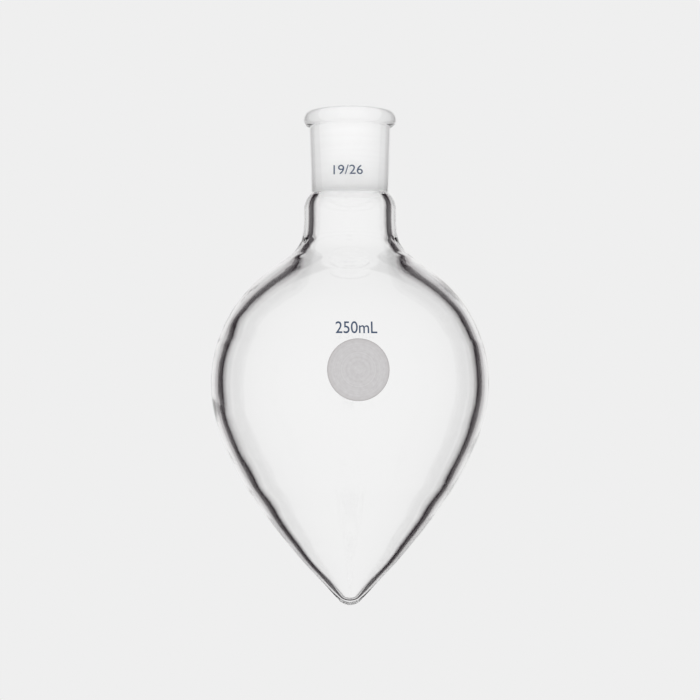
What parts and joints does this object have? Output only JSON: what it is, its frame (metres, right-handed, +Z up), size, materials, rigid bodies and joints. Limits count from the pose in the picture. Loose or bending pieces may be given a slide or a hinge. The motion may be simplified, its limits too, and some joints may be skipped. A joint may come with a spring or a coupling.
{
  "type": "heart-shaped flask",
  "caption": "Clear borosilicate heart-shaped flask with a pointed tip, a straight neck and a ground-glass socket, for distilling small volumes.",
  "frame": {"origin": "on the flask's axis, at the middle of the straight neck, where a clamp holds it", "axes": "+Z up along the flask's axis, from the tip towards the mouth; -Y is the side with the printed volume and the marking spot"},
  "size_m": [0.082, 0.082, 0.1461],
  "materials": {
    "glass": "clear and polished, ground inside the socket"
  },
  "bodies": {
    "root": {"flask": "glass"}
  },
  "joints": []
}
